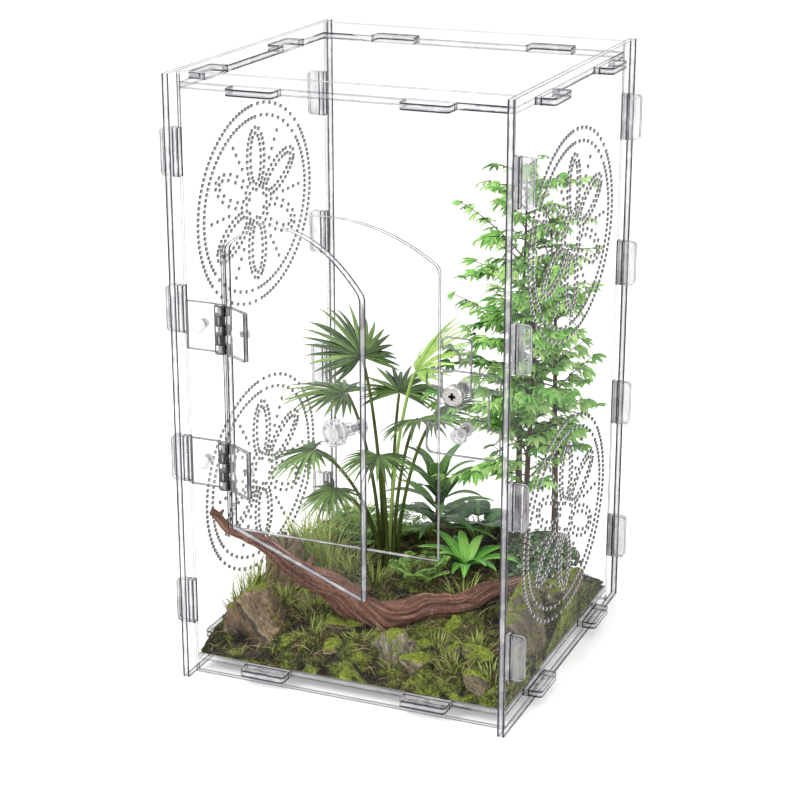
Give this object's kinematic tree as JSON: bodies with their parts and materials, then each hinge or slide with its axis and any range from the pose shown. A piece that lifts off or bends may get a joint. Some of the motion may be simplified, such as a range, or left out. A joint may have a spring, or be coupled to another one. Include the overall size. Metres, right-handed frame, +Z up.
{
  "type": "reptile terrarium",
  "caption": "Tall clear acrylic terrarium with tab-and-slot panels, perforated side vents, an arched hinged door with a hook latch, and a planted landscape.",
  "frame": {"origin": "on the floor, under the middle of the box (the middle of the rectangle that the side panels' feet stand on)", "axes": "+Z up, -Y to the front with the door, +X to the right seen from the front"},
  "size_m": [0.215, 0.2818, 0.355],
  "materials": {
    "clear_acrylic": "polished clear acrylic sheet",
    "clear_fitting": "moulded clear acrylic",
    "rivet_plastic": "translucent white plastic",
    "screw_steel": "nickel-plated steel",
    "moss": "dense moss pile",
    "rock": "rough rock",
    "stump_wood": "weathered wood",
    "drift_wood": "red-brown fibrous wood",
    "palm_green": "satin leaf",
    "young_green": "satin leaf",
    "leaf_green": "satin leaf",
    "shrub_green": "satin leaf",
    "bark": "rough bark",
    "grass_green": "fine grass"
  },
  "bodies": {
    "enclosure": {"left_panel": "clear_acrylic", "right_panel": "clear_acrylic", "front_panel": "clear_acrylic", "back_panel": "clear_acrylic", "top_panel": "clear_acrylic", "base_panel": "clear_acrylic", "upper_hinge_frame_leaf": "clear_fitting", "lower_hinge_frame_leaf": "clear_fitting", "latch_plate": "clear_fitting", "plate_screw": "clear_fitting", "plate_nut": "clear_fitting", "frame_leaf_rivets": "rivet_plastic", "hinge_pins": "screw_steel", "latch_screw": "screw_steel", "latch_nut": "screw_steel", "moss_bed": "moss", "large_rock": "rock", "small_mossy_rock": "rock", "centre_rock": "rock", "right_rock": "rock", "stump": "stump_wood", "driftwood": "drift_wood", "palm_stems": "palm_green", "palm_fans": "palm_green", "young_fan": "young_green", "broadleaf_leaves": "leaf_green", "ferns": "leaf_green", "strap_leaves": "leaf_green", "round_leaves": "leaf_green", "ground_cover": "leaf_green", "shrub_leaves": "shrub_green", "shrub_trunks": "bark", "broadleaf_stem": "bark", "grass": "grass_green"},
    "door": {"door_panel": "clear_acrylic", "upper_hinge_door_leaf": "clear_fitting", "lower_hinge_door_leaf": "clear_fitting", "door_leaf_rivets": "rivet_plastic", "door_knob": "clear_fitting", "knob_nut": "clear_fitting"},
    "latch": {"latch_hook": "clear_fitting"}
  },
  "joints": [
    {"name": "door_swing", "type": "hinge", "parent": "enclosure", "child": "door", "pos_m": [-0.0715, -0.1008, 0.174], "axis": [0, 0, -1], "range_deg": [-31, 129]},
    {"name": "latch_turn", "type": "hinge", "parent": "enclosure", "child": "latch", "pos_m": [0.0673, -0.0987, 0.1944], "axis": [0, -1, 0], "range_deg": [-45, 90]}
  ]
}
